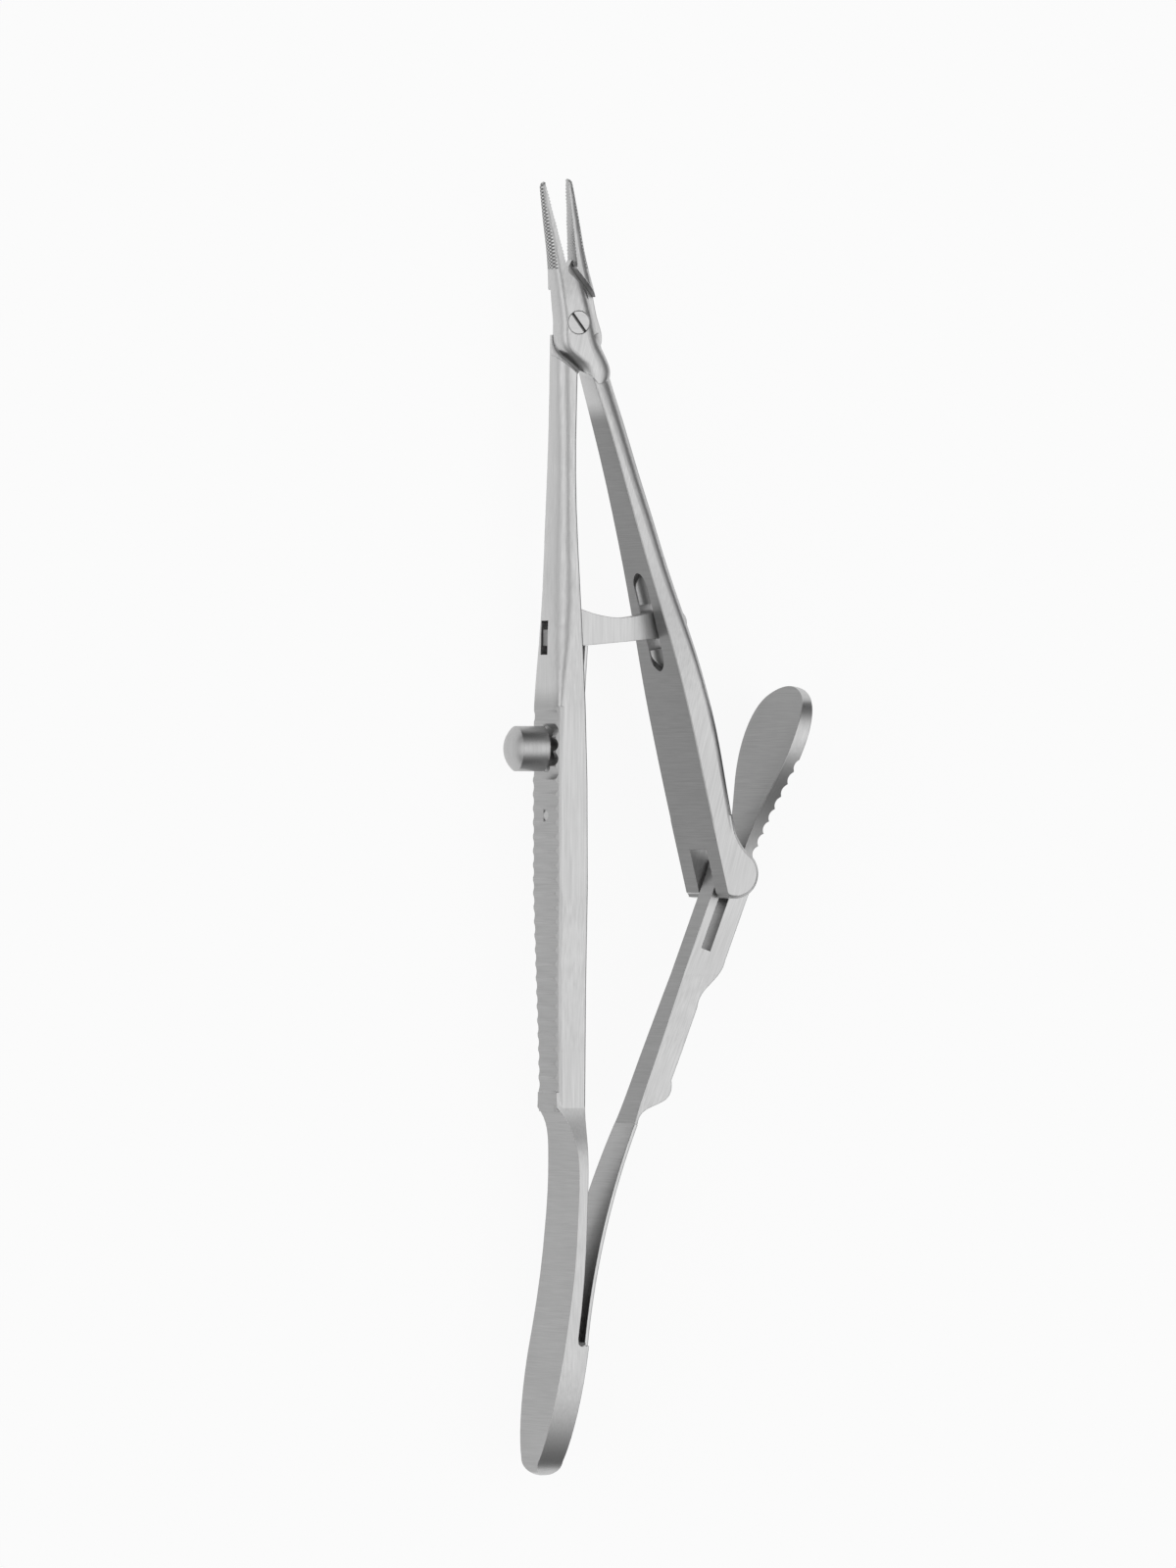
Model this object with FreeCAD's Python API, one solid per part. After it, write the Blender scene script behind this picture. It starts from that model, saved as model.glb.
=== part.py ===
import FreeCAD, Part
import math
import os

# Surgical needle holder with a spring handle, drawn open and lying on its side.
# Drawing frame, in millimetres: the pivot is the origin, +Y runs to the jaw tips,
# +X to the thumb lever, +Z is up out of the plane in which the arms swing.
# At the end every piece is moved so that the bottom centre of the whole is the origin.

Vec = FreeCAD.Vector
Z_AXIS = Vec(0, 0, 1)

# Motion and fits
OPEN_ANGLE = 9.3            # how far the jaw arm swings from closed to open, degrees
CLOSURE_LEAN = 4.0          # lean of the line on which the jaws meet, degrees
ARM_LEAN = 14.1             # lean of the jaw arm's own line when it is open, degrees
LEVER_LEAN = 21.0           # lean of the slotted stretch of the lever, degrees
RUN_FIT = 0.04              # radial clearance of a running fit
LAP_GAP = 0.06              # gap between the two halves of the lap joint
JAW_GAP = 0.08              # gap left between the closed jaws
EDGE_BREAK = 0.14           # small bevel along the sharp inner edges

# Lap joint and its screw
LAP_HALF = 2.3              # half thickness of the whole joint
SCREW_HEAD_R = 1.42
SCREW_STEM_R = 0.95
SCREW_SLOT_WIDTH = 0.34
SCREW_SLOT_DEPTH = 0.5
SCREW_SLOT_TURN = 37.0      # degrees from the long axis

# Jaws and lap, standing upright with the gripping face on x = 0
JAW_TIP_Y = 17.85
JAW_ROOT_Y = 3.0
JAW_FACE_OFFSET = 0.5       # distance of the meeting face from the pivot
TOOTH_PITCH = 0.42          # along the jaw
TOOTH_DEPTH = 0.15
TOOTH_LAND = 0.012          # what the notches take off the teeth's points
TOOTH_SLANT = 32.0          # slant of the notches, degrees
TOOTH_START_Y = 6.9
COMB_SPARE = 6              # notches beyond each end of the toothed stretch
COMB_LENGTH = 8.0
# Height; half width and corner along Z; jaw side and its corner; side that runs into the shank
LAP_SECTIONS = [
    (-8.0, LAP_HALF, 2.00, 3.05, 1.45, 2.46, 2.00),
    (-3.3, LAP_HALF, 2.00, 3.05, 1.45, 2.34, 1.95),
    (0.4, LAP_HALF, 2.00, 2.93, 1.45, 2.26, 1.85),
    (2.3, 2.25, 1.92, 2.64, 1.40, 2.16, 1.75),
    (4.4, 2.02, 1.72, 2.32, 1.30, 2.05, 1.65),
    (6.5, 1.66, 1.40, 1.95, 1.20, 1.95, 1.55),
    (10.0, 1.24, 1.06, 1.48, 1.00, 1.60, 1.30),
    (12.7, 0.97, 0.84, 1.24, 0.86, 1.30, 1.00),
    (15.4, 0.68, 0.58, 0.94, 0.66, 1.00, 0.70),
    (17.4, 0.48, 0.41, 0.68, 0.48, 0.70, 0.50),
]

# Frame arm: height, inner face, thickness, half width, corner across, corner along Z
FRAME_SECTIONS = [
    (-1.5, -0.10, 2.60, 2.22, 2.30, 2.05),
    (-8.0, -0.15, 2.65, 2.22, 2.35, 2.05),
    (-17.0, -0.50, 2.45, 2.62, 2.15, 2.40),
    (-27.0, -0.42, 2.90, 3.06, 2.50, 2.80),
    (-36.0, -0.12, 3.55, 3.52, 2.80, 3.10),
    (-42.0, 0.05, 3.80, 3.82, 1.90, 2.20),
    (-47.4, 0.20, 3.92, 4.02, 1.00, 1.05),
    (-57.0, 0.42, 4.24, 4.07, 0.90, 0.90),
    (-70.0, 0.47, 4.28, 4.07, 0.90, 0.90),
    (-82.0, 0.50, 4.16, 3.45, 0.90, 0.90),
    (-90.0, 0.57, 4.08, 3.12, 0.90, 0.90),
    (-97.4, 0.50, 3.90, 3.12, 0.90, 0.90),
]
GRIP_TOP_Y = -47.4          # one of the heights above; the ribbed grip starts here
CORNER_FLATS = 3
GRIP_HALF = 4.03            # half width of the grip between its flat sides
RIB_COUNT = 28
RIB_FIRST_Y = -48.6
RIB_PITCH = 1.75
RIB_DEPTH = 0.36
RIB_WIDTH = 1.66

# Palm plate and tail of the frame arm
TAIL_END_Y = -142.3
TAIL_WIDE_Y = -127.0        # where the tail is widest
TAIL_HALF = 5.75
SLIT_ROOT_Y = -125.6
SLIT_LEFT_X = -1.5
SLIT_ROUND = 0.45
# Side view of the palm plate, as (x, y): outer side, then the side towards the leaf
PALM_OUTER = [
    (-3.3, -96.9), (-2.0, -98.9), (-1.13, -103.2), (-1.25, -109.5), (-2.0, -118.0),
    (-3.35, -126.5), (-4.75, -134.8), (-5.55, -140.2),
]
PALM_INNER = [(-0.72, -119.0), (-0.02, -109.0), (0.25, -101.0), (0.5, -96.0)]
PALM_START_Y = -95.0
TAIL_RIGHT = [(-2.35, -140.6), (-1.45, -135.2), (-0.72, -130.5)]
TAIL_ROUND = [(-5.25, -141.75), (-4.5, -142.25), (-3.7, TAIL_END_Y), (-3.1, -142.15), (-2.55, -141.65)]
# Front view of the palm plate, as (y, half width), from the grip to the widest place
PALM_FRONT = [(PALM_START_Y, 3.0), (-98.2, 3.4), (-102.0, 4.6), (-107.5, 5.05), (-116.0, 5.4)]

# Spring leaf
LEAF_ROOT_X = -0.12         # right side of the leaf's root
LEAF_ROOT_Y = -126.2
LEAF_TOP_Y = -99.0
LEAF_THICK = 0.46
LEAF_BOW = 1.0              # how far the middle lies beside the straight line, in side view
LEAF_WAIST = 0.11           # how much narrower the middle is than the mean of the ends
LEAF_ROOT_HALF = 5.55
LEAF_TOP_HALF = 3.2

# Jaw arm in its own line: distance, inner face, thickness, half width, corners
ARM_SECTIONS = [
    (-2.0, 0.30, 2.70, 2.25, 2.30, 2.05),
    (-9.0, 0.38, 2.75, 2.35, 2.35, 2.15),
    (-14.0, 0.65, 2.78, 2.72, 2.20, 2.40),
    (-21.0, 0.85, 2.86, 3.12, 2.00, 2.30),
    (-28.0, 0.94, 2.98, 3.70, 1.75, 2.00),
    (-35.5, 1.02, 3.10, 4.68, 1.55, 1.80),
    (-41.0, 1.03, 3.25, 5.55, 1.30, 1.50),
    (-46.5, 0.95, 3.36, 6.20, 1.05, 1.20),
    (-51.0, 0.87, 3.40, 6.47, 1.00, 1.05),
    (-56.0, 0.76, 3.30, 6.55, 0.92, 0.95),
    (-61.0, 0.66, 3.05, 6.55, 0.85, 0.85),
    (-66.0, 0.57, 2.95, 6.50, 0.80, 0.80),
]
EAR_HALF = 6.5              # half width over both ears
EAR_R = 3.1
EAR_AT = (2.19, -70.7)      # centre of the round end, in the arm's own line
EAR_INNER = 0.52            # inner face of the ears, in the arm's own line
EAR_BEVEL = 0.36
FORK_HALF = 2.7             # half width of the fork slot
FORK_INNER_END = -67.6      # end of the fork slot at the inner face
FORK_OUTER_END = -61.4      # and at the outer face

# Window in the jaw arm, in the arm's own line
BAR_ROOT_BOTTOM = -39.9     # lower edge of the cross bar's root, which the window follows
WINDOW_HALF = 2.1
WINDOW_TOP = BAR_ROOT_BOTTOM + 7.8
WINDOW_BOTTOM = BAR_ROOT_BOTTOM - 4.7
WINDOW_THROUGH_TOP = BAR_ROOT_BOTTOM + 3.65
WINDOW_THROUGH_BOTTOM = BAR_ROOT_BOTTOM - 2.1
WINDOW_FACE_X = 1.03        # inner face of the arm beside the window
WINDOW_DEPTH = 1.3
WINDOW_MILL_R = 2.6         # radius of the groove's floor

# Fork pin and the lever's slot
PIN_AT = (20.33, -68.7)
PIN_R = 0.36
SLOT_WIDTH = 1.25
SLOT_SHIFT = 0.197          # the pin lies this far to the inner side of the slot's middle when open
SLOT_ABOVE = 1.15           # from the pin to the upper end of the slot
SLOT_BELOW = 9.3            # from the pin to the lower end of the slot

# Lever
LEVER_HALF = 2.0
LEVER_LINE = (16.71, -73.87)  # a point on the lever's inner edge
LEVER_STRAIGHT_Y = -80.5    # where the tapering foot becomes the parallel stretch
# Side view of the lever: the step from the foot's left corner, the rest as (x, y)
LEVER_STEP = [(1.936, 1.9), (4.036, 2.8), (5.186, 5.4)]
LEVER_SHOULDER = [(15.9, -84.6), (16.95, -82.5), (18.6, -80.9), (19.75, -78.9)]
LEVER_HEEL = [(22.75, -71.1), (23.35, -69.2), (23.6, -67.2), (23.9, -65.2)]
LEVER_NECK = [(21.55, -65.7), (20.35, -66.1)]
LEVER_NECK_END_Y = -67.4
PADDLE_OUTER = [(25.65, -59.35), (28.05, -52.1), (29.25, -48.0), (29.75, -45.6)]
PADDLE_TIP = (29.6, -44.95)
PADDLE_TIP_Y = -44.8
PADDLE_INNER = [(29.25, PADDLE_TIP_Y), (28.0, -47.4), (26.1, -52.4), (23.75, -59.4), (22.2, -64.6)]
# Front view: the foot as (share of its length, half width), the paddle as (y, half width)
LEVER_FOOT_FRONT = [(-0.054, 3.3), (0.081, 2.85), (0.378, 2.62), (0.703, 2.35)]
PADDLE_START_Y = -68.2
PADDLE_HALF = 7.9
PADDLE_FRONT = [(-63.5, 3.05), (-59.3, 4.8), (-55.6, 6.75), (-51.3, PADDLE_HALF), (-48.0, 7.3), (-45.8, 4.9)]
PADDLE_RIB_COUNT = 8
PADDLE_RIB_FIRST_Y = -54.9
PADDLE_RIB_X = 27.14        # face of the paddle at the first rib
PADDLE_RIB_SLOPE = 0.335
PADDLE_RIB_PITCH = 1.53
PADDLE_RIB_DEPTH = 0.3
PADDLE_RIB_WIDTH = 1.42

# Catch: cross bar, its leaf and the screw that holds the leaf
BAR_HALF = 1.3
BAR_NOSE_R = 1.72
BAR_NOSE_X = 13.2
BAR_NOSE_ABOVE = 2.85       # from the root's lower edge to the middle of the nose
BAR_ROOT_X = 0.7
# Upper edge of the bar, as (x, height above the root's lower edge)
BAR_TOP = [(BAR_ROOT_X, 4.55), (3.0, 3.85), (5.8, 3.5), (8.6, 3.8), (10.6, 4.3)]
TENON_HALF = 0.85
TENON_HEIGHT = 2.0
TENON_SIDE_ROOM = 0.25      # room beside the tenon in its slot
TENON_END_ROOM = 1.1        # room above and below, for the catch's tilt
TENON_END_X = -3.5
SEAT_X = 0.12               # floor of the leaf's seat in the frame arm
SEAT_HALF = 2.2
SEAT_TOP = BAR_ROOT_BOTTOM + 3.9
SEAT_BOTTOM = -66.0
CATCH_LEAF_HALF = 1.85
CATCH_LEAF_THICK = 0.45
CATCH_LEAF_END = -65.0
CATCH_LEAF_BEND = -57.5
CATCH_LEAF_TOP_X = 0.95
LEAF_SCREW_Y = -60.85
LEAF_SCREW_R = 0.75
LEAF_SCREW_HEAD_R = 1.5
LEAF_SCREW_HEAD = 0.6

# Button
BUTTON_Y = -52.6
BUTTON_R = 2.8
BUTTON_BASE_X = -4.0
BUTTON_RIM_X = -7.57
BUTTON_DOME = 1.32
BUTTON_STEM_R = 1.2
BUTTON_TRAVEL = 0.5
BUTTON_FLOOR_GAP = 0.1
BUTTON_TIP_R = 0.6
BUTTON_RIVET_R = 1.0
BUTTON_RIVET = 0.3

REACH = 60.0                # longer than any cut needs to be


def at(x, y, z=0.0):
    return Vec(x, y, z)


def line(a, b):
    return Part.LineSegment(a, b).toShape()


def arc(a, mid, b):
    return Part.Arc(a, mid, b).toShape()


def spline(points):
    """A smooth edge through the given points."""
    curve = Part.BSplineCurve()
    curve.interpolate(points)
    return curve.toShape()


def quarter(a, corner, b):
    """A quarter of an ellipse from a to b that turns inside the corner."""
    curve = Part.BezierCurve()
    curve.setPoles([a, corner, b])
    curve.setWeight(2, math.sqrt(0.5))
    return curve.toShape()


def polygon(points):
    """A flat face with straight sides through (x, y) points."""
    corners = [at(x, y) for x, y in points]
    return Part.Face(Part.makePolygon(corners + [corners[0]]))


def prism(face, low, high):
    """The face, drawn at z = 0, carried from z = low to z = high."""
    moved = face.copy()
    moved.translate(Vec(0, 0, low))
    return moved.extrude(Vec(0, 0, high - low))


def across(edges, reach=REACH):
    """A face drawn in the Y-Z plane from its edges, carried across the whole part along X."""
    face = Part.Face(Part.Wire(edges))
    face.translate(Vec(-reach, 0, 0))
    return face.extrude(Vec(2 * reach, 0, 0))


def turned(shape, degrees):
    """The shape turned about the pivot."""
    copy = shape.copy()
    copy.rotate(Vec(0, 0, 0), Z_AXIS, degrees)
    return copy


def turned_point(point, degrees):
    a = math.radians(degrees)
    x, y = point
    return (x * math.cos(a) - y * math.sin(a), x * math.sin(a) + y * math.cos(a))


def mirrored_point(point):
    """The point on the other side of the line on which the jaws meet."""
    a = math.radians(CLOSURE_LEAN)
    dx, dy = -math.sin(a), math.cos(a)
    along = point[0] * dx + point[1] * dy
    return (2 * along * dx - point[0], 2 * along * dy - point[1])


def joined(shapes):
    body = shapes[0]
    for extra in shapes[1:]:
        body = body.fuse(extra)
    return body.removeSplitter()


def value_at(sections, y, column):
    """A section's value at height y, along straight lines between the sections."""
    for upper, lower in zip(sections, sections[1:]):
        if lower[0] <= y <= upper[0]:
            part = (upper[0] - y) / (upper[0] - lower[0])
            return upper[column] + part * (lower[column] - upper[column])
    return sections[-1][column]


def half_round_section(y, inner, thickness, half, corner_x, corner_z, side):
    """A closed section at height y: flat towards the other arm, rounded on its outer side."""
    outer = inner + side * thickness
    e = EDGE_BREAK
    flat = half - corner_z
    shoulder = outer - side * corner_x
    near = inner + side * e
    return Part.Wire([
        line(at(inner, y, -half + e), at(inner, y, half - e)),
        line(at(inner, y, half - e), at(near, y, half)),
        line(at(near, y, half), at(shoulder, y, half)),
        quarter(at(shoulder, y, half), at(outer, y, half), at(outer, y, flat)),
        line(at(outer, y, flat), at(outer, y, -flat)),
        quarter(at(outer, y, -flat), at(outer, y, -half), at(shoulder, y, -half)),
        line(at(shoulder, y, -half), at(near, y, -half)),
        line(at(near, y, -half), at(inner, y, -half + e)),
    ])


def lofted_arm(sections, side):
    wires = [half_round_section(*section, side) for section in sections]
    return Part.makeLoft(wires, True, False)


def faceted_arm(sections, side):
    """The same with its outer corners made of narrow flats, which the cross grooves cut cleanly."""
    wires = []
    for y, inner, thickness, half, corner_x, corner_z in sections:
        outer = inner + side * thickness
        outline = [(inner, half - EDGE_BREAK), (inner + side * EDGE_BREAK, half)]
        for k in range(CORNER_FLATS + 1):
            a = math.radians(90 * k / CORNER_FLATS)
            outline.append((outer - side * corner_x * (1 - math.sin(a)), half - corner_z * (1 - math.cos(a))))
        outline += [(x, -z) for x, z in reversed(outline)]
        points = [at(x, y, z) for x, z in outline]
        wires.append(Part.makePolygon(points + [points[0]]))
    return Part.makeLoft(wires, True, True)


# Jaws

def lap_section(y, half, corner_z, jaw_side, jaw_corner, shank_side, shank_corner):
    """A closed section of jaw and lap: flat above and below, rounded on both sides."""
    flat = half - corner_z
    right = jaw_side - jaw_corner
    left = shank_corner - shank_side
    return Part.Wire([
        line(at(left, y, half), at(right, y, half)),
        quarter(at(right, y, half), at(jaw_side, y, half), at(jaw_side, y, flat)),
        line(at(jaw_side, y, flat), at(jaw_side, y, -flat)),
        quarter(at(jaw_side, y, -flat), at(jaw_side, y, -half), at(right, y, -half)),
        line(at(right, y, -half), at(left, y, -half)),
        quarter(at(left, y, -half), at(-shank_side, y, -half), at(-shank_side, y, -flat)),
        line(at(-shank_side, y, -flat), at(-shank_side, y, flat)),
        quarter(at(-shank_side, y, flat), at(-shank_side, y, half), at(left, y, half)),
    ])


def lap_body():
    """The form that jaw and lap share, from the tip to below the pivot."""
    return Part.makeLoft([lap_section(*section) for section in LAP_SECTIONS], True, False)


def jaw_tip():
    """Round end on the last section."""
    y, half = LAP_SECTIONS[-1][:2]
    thickness = LAP_SECTIONS[-1][3]
    tip = Part.makeSphere(half - 0.02)
    stretch = FreeCAD.Matrix()
    stretch.scale(Vec(thickness / half * 0.96, (JAW_TIP_Y - y) / half, 1.0))
    tip = tip.transformGeometry(stretch)
    tip.translate(at(0.0, y - 0.01))
    return tip.common(Part.makeBox(4, 4, 4, at(0.0, y - 0.3, -2)))


def comb(slant):
    """A block with a saw-toothed side, which cuts parallel slanting notches across the gripping face."""
    count = math.ceil((JAW_TIP_Y - TOOTH_START_Y) / TOOTH_PITCH) + 2 * COMB_SPARE
    low = TOOTH_START_Y - COMB_SPARE * TOOTH_PITCH
    top = low + count * TOOTH_PITCH
    points = [at(-1.0, low)]
    for i in range(count):
        points.append(at(TOOTH_LAND, low + i * TOOTH_PITCH))
        points.append(at(TOOTH_DEPTH, low + (i + 0.5) * TOOTH_PITCH))
    points += [at(TOOTH_LAND, top), at(-1.0, top), points[0]]
    a = math.radians(slant)
    run = Vec(0, math.sin(a), math.cos(a)) * COMB_LENGTH
    face = Part.Face(Part.makePolygon(points))
    face.translate(run * -0.5)
    room = Part.makeBox(4, JAW_TIP_Y, COMB_LENGTH, at(-2, TOOTH_START_Y, -COMB_LENGTH / 2))
    return face.extrude(run).common(room)


def jaw():
    """The jaw with diamond teeth on its gripping face, still upright."""
    room = Part.makeBox(REACH, REACH, REACH, at(0, JAW_ROOT_Y, -REACH / 2))
    blade = lap_body().common(room).fuse(jaw_tip())
    return blade.cut(comb(TOOTH_SLANT)).cut(comb(-TOOTH_SLANT))


def on_frame_arm(shape):
    """An upright shape of jaw or lap, moved to its place on the frame arm."""
    shape = shape.copy()
    shape.translate(Vec(JAW_FACE_OFFSET, 0, 0))
    return turned(shape, CLOSURE_LEAN)


def on_closed_jaw_arm(shape):
    """The same on the jaw arm, mirrored and moved so that the closed jaws nearly touch."""
    normal = Vec(math.cos(math.radians(CLOSURE_LEAN)), math.sin(math.radians(CLOSURE_LEAN)), 0)
    shape = on_frame_arm(shape).mirror(Vec(0, 0, 0), normal)
    shape.translate(normal * (2 * JAW_FACE_OFFSET - JAW_GAP))
    return shape


# Lap joint

UPPER_SHOULDER = [(0.05, 6.6), (1.95, 4.2)]          # frame jaw's lower edge
LOWER_SHOULDER = [(-3.4, -3.5), (-0.1, -6.35)]       # frame shank's upper edge


# Outline of half the lap on the open jaw arm: upper edge, shank side, foot, crotch, jaw side
LAP_OUTLINE = [(-5.0, 9.93), (4.0, 1.44), (5.6, -5.0), (3.4, -8.6), (1.95, -6.75), (-4.5, -2.96)]


def lap_room(place, low, high):
    """The room that half of the lap joint takes."""
    return prism(polygon([place(p) for p in LAP_OUTLINE]), low, high)


def closed_place(point):
    """A point of the open jaw arm's lap, with the arm closed."""
    return turned_point(point, -OPEN_ANGLE)


def frame_place(point):
    """The same point on the frame arm, which mirrors the closed jaw arm."""
    return mirrored_point(closed_place(point))


def shoulder_cut(points, upwards, low, high):
    """Everything on one side of a shoulder line, between two heights."""
    (ax, ay), (bx, by) = points
    slope = (by - ay) / (bx - ax)
    far_left = (ax - 20, ay - 20 * slope)
    far_right = (bx + 20, by + 20 * slope)
    reach = 30 if upwards else -30
    outline = [far_left, far_right, (far_right[0], far_right[1] + reach), (far_left[0], far_left[1] + reach)]
    return prism(polygon(outline), low, high)


# Frame arm

def palm_outline():
    """Side view of the palm plate and tail, with the slit beside the spring leaf."""
    outer = [at(*point) for point in PALM_OUTER]
    inner = [at(SLIT_LEFT_X, SLIT_ROOT_Y + 0.35)] + [at(*point) for point in PALM_INNER]
    tail_right = [at(*point) for point in TAIL_RIGHT] + [at(LEAF_ROOT_X, LEAF_ROOT_Y)]
    low_left, end_left, end, end_right, low_right = [at(*point) for point in TAIL_ROUND]
    leaf_left = LEAF_ROOT_X - LEAF_THICK
    notch_low = SLIT_ROOT_Y - 0.2
    top_left = at(outer[0].x, PALM_START_Y)
    top_right = at(inner[-1].x, PALM_START_Y)
    edges = [
        line(top_right, top_left), line(top_left, outer[0]), spline(outer),
        arc(outer[-1], low_left, end_left), arc(end_left, end, end_right), arc(end_right, low_right, tail_right[0]),
        spline(tail_right), line(tail_right[-1], at(leaf_left, LEAF_ROOT_Y)),
        line(at(leaf_left, LEAF_ROOT_Y), at(leaf_left, notch_low)),
        arc(at(leaf_left, notch_low), at((leaf_left + SLIT_LEFT_X) / 2, notch_low - SLIT_ROUND),
            at(SLIT_LEFT_X, notch_low)),
        line(at(SLIT_LEFT_X, notch_low), inner[0]), spline(inner), line(inner[-1], top_right),
    ]
    return Part.Face(Part.Wire(edges))


def palm_front():
    """Front view of the palm plate and tail: widening from the grip, then a half ellipse."""
    side = [at(0, y, half) for y, half in PALM_FRONT] + [at(0, TAIL_WIDE_Y, TAIL_HALF)]
    low_corner = at(0, TAIL_END_Y, TAIL_HALF)
    tip = at(0, TAIL_END_Y, 0)
    opposite = [Vec(p.x, p.y, -p.z) for p in side]
    return [
        spline(side), quarter(side[-1], low_corner, tip),
        quarter(tip, at(0, TAIL_END_Y, -TAIL_HALF), opposite[-1]), spline(opposite),
        line(opposite[0], side[0]),
    ]


def palm():
    plate = prism(palm_outline(), -TAIL_HALF - 1, TAIL_HALF + 1)
    return plate.common(across(palm_front()))


def grip_face(y):
    """Outer face of the grip at height y."""
    return value_at(FRAME_SECTIONS, y, 1) - value_at(FRAME_SECTIONS, y, 2)


def grip_ribs():
    """Round grooves across the grip's outer face."""
    radius = (RIB_WIDTH ** 2 / 4 + RIB_DEPTH ** 2) / (2 * RIB_DEPTH)
    cutters = []
    for i in range(RIB_COUNT):
        y = RIB_FIRST_Y - i * RIB_PITCH
        x = grip_face(y) + RIB_DEPTH - radius
        cutters.append(Part.makeCylinder(radius, 20, at(x, y, -10), Z_AXIS))
    return Part.makeCompound(cutters)


def button_bores():
    floor = BUTTON_BASE_X + BUTTON_TRAVEL + BUTTON_FLOOR_GAP
    stem = Part.makeCylinder(BUTTON_STEM_R + RUN_FIT, 8, at(-5, BUTTON_Y), Vec(1, 0, 0))
    pocket = Part.makeCylinder(BUTTON_R + RUN_FIT, 5, at(floor - 5, BUTTON_Y), Vec(1, 0, 0))
    return stem.fuse(pocket)


def frame_arm():
    shank = lofted_arm([section for section in FRAME_SECTIONS if section[0] >= GRIP_TOP_Y], -1)
    grip = faceted_arm([section for section in FRAME_SECTIONS if section[0] <= GRIP_TOP_Y], -1)
    grip = grip.common(Part.makeBox(REACH, REACH, 2 * GRIP_HALF, at(-REACH / 2, GRIP_TOP_Y - REACH, -GRIP_HALF)))
    grip = grip.cut(grip_ribs())
    shank = shank.cut(shoulder_cut(LOWER_SHOULDER, True, -LAP_GAP / 2, 10))
    blade = on_frame_arm(jaw()).cut(shoulder_cut(UPPER_SHOULDER, False, -LAP_GAP / 2, 10))
    plate = on_frame_arm(lap_body()).common(lap_room(frame_place, -2 * LAP_HALF, -LAP_GAP / 2))
    arm = joined([shank, grip, plate, blade, palm()])
    arm = arm.cut(Part.makeCylinder(SCREW_STEM_R, 10, at(0, 0, -5), Z_AXIS))
    tenon_slot = TENON_HALF + TENON_SIDE_ROOM
    arm = arm.cut(Part.makeBox(20, TENON_HEIGHT + 2 * TENON_END_ROOM, 2 * tenon_slot,
                               at(-10, BAR_ROOT_BOTTOM - TENON_END_ROOM, -tenon_slot)))
    arm = arm.cut(Part.makeBox(5, SEAT_TOP - SEAT_BOTTOM, 2 * SEAT_HALF, at(SEAT_X, SEAT_BOTTOM, -SEAT_HALF)))
    arm = arm.cut(button_bores())
    return arm.cut(Part.makeCylinder(LEAF_SCREW_R, 20, at(-10, LEAF_SCREW_Y), Vec(1, 0, 0)))


# Jaw arm

def ear_outline():
    """Side view of the fork's ears: a round end, with a hollow up to the outer face."""
    cx, cy = EAR_AT
    start = math.radians(27)
    rim = at(cx + EAR_R * math.cos(start), cy + EAR_R * math.sin(start))
    right = at(cx + EAR_R, cy)
    bottom_at = math.radians(-122)
    bottom = at(cx + EAR_R * math.cos(bottom_at), cy + EAR_R * math.sin(bottom_at))
    below = at(cx + EAR_R * math.cos(math.radians(-60)), cy + EAR_R * math.sin(math.radians(-60)))
    hollow_top = at(3.52, -64.6)
    corner = at(EAR_INNER, bottom.y + 0.55)
    edges = [
        line(at(EAR_INNER + 0.1, -63.5), at(3.56, -63.5)),
        line(at(3.56, -63.5), hollow_top),
        arc(hollow_top, at(3.82, -67.3), rim),
        arc(rim, right, below),
        arc(below, at(cx, cy - EAR_R), bottom),
        arc(bottom, at(EAR_INNER + 0.12, bottom.y + 0.2), corner),
        line(corner, at(EAR_INNER + 0.1, -63.5)),
    ]
    return Part.Face(Part.Wire(edges))


def ears():
    block = prism(ear_outline(), -EAR_HALF, EAR_HALF)
    edges = []
    for edge in block.Edges:
        box = edge.BoundBox
        if box.ZLength < 1e-6 and box.XMax > EAR_INNER + 0.7 and box.YMax < -63.6:
            edges.append(edge)
    return block.makeChamfer(EAR_BEVEL, edges)


def fork_slot():
    outline = [(-3, -90), (9, -90), (9, FORK_OUTER_END), (3.6, FORK_OUTER_END),
               (EAR_INNER - 0.1, FORK_INNER_END), (-3, FORK_INNER_END)]
    return prism(polygon(outline), -FORK_HALF, FORK_HALF)


def slot_room(half, top, bottom):
    """A slot with round ends, carried along X."""
    low = at(0, bottom + half)
    high = at(0, top - half)
    side = Vec(0, 0, half)
    return across([
        line(low - side, high - side), arc(high - side, at(0, top), high + side),
        line(high + side, low + side), arc(low + side, at(0, bottom), low - side),
    ])


def window():
    """A milled groove with round ends in the inner face, cut right through where the bar passes."""
    axis_x = WINDOW_FACE_X + WINDOW_DEPTH - WINDOW_MILL_R
    groove = Part.makeCylinder(WINDOW_MILL_R, WINDOW_TOP - WINDOW_BOTTOM, at(axis_x, WINDOW_BOTTOM), Vec(0, 1, 0))
    groove = groove.common(slot_room(WINDOW_HALF, WINDOW_TOP, WINDOW_BOTTOM))
    hole = Part.makeBox(20, WINDOW_THROUGH_TOP - WINDOW_THROUGH_BOTTOM, 2 * WINDOW_HALF,
                        at(-10, WINDOW_THROUGH_BOTTOM, -WINDOW_HALF))
    return groove.fuse(hole)


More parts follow.
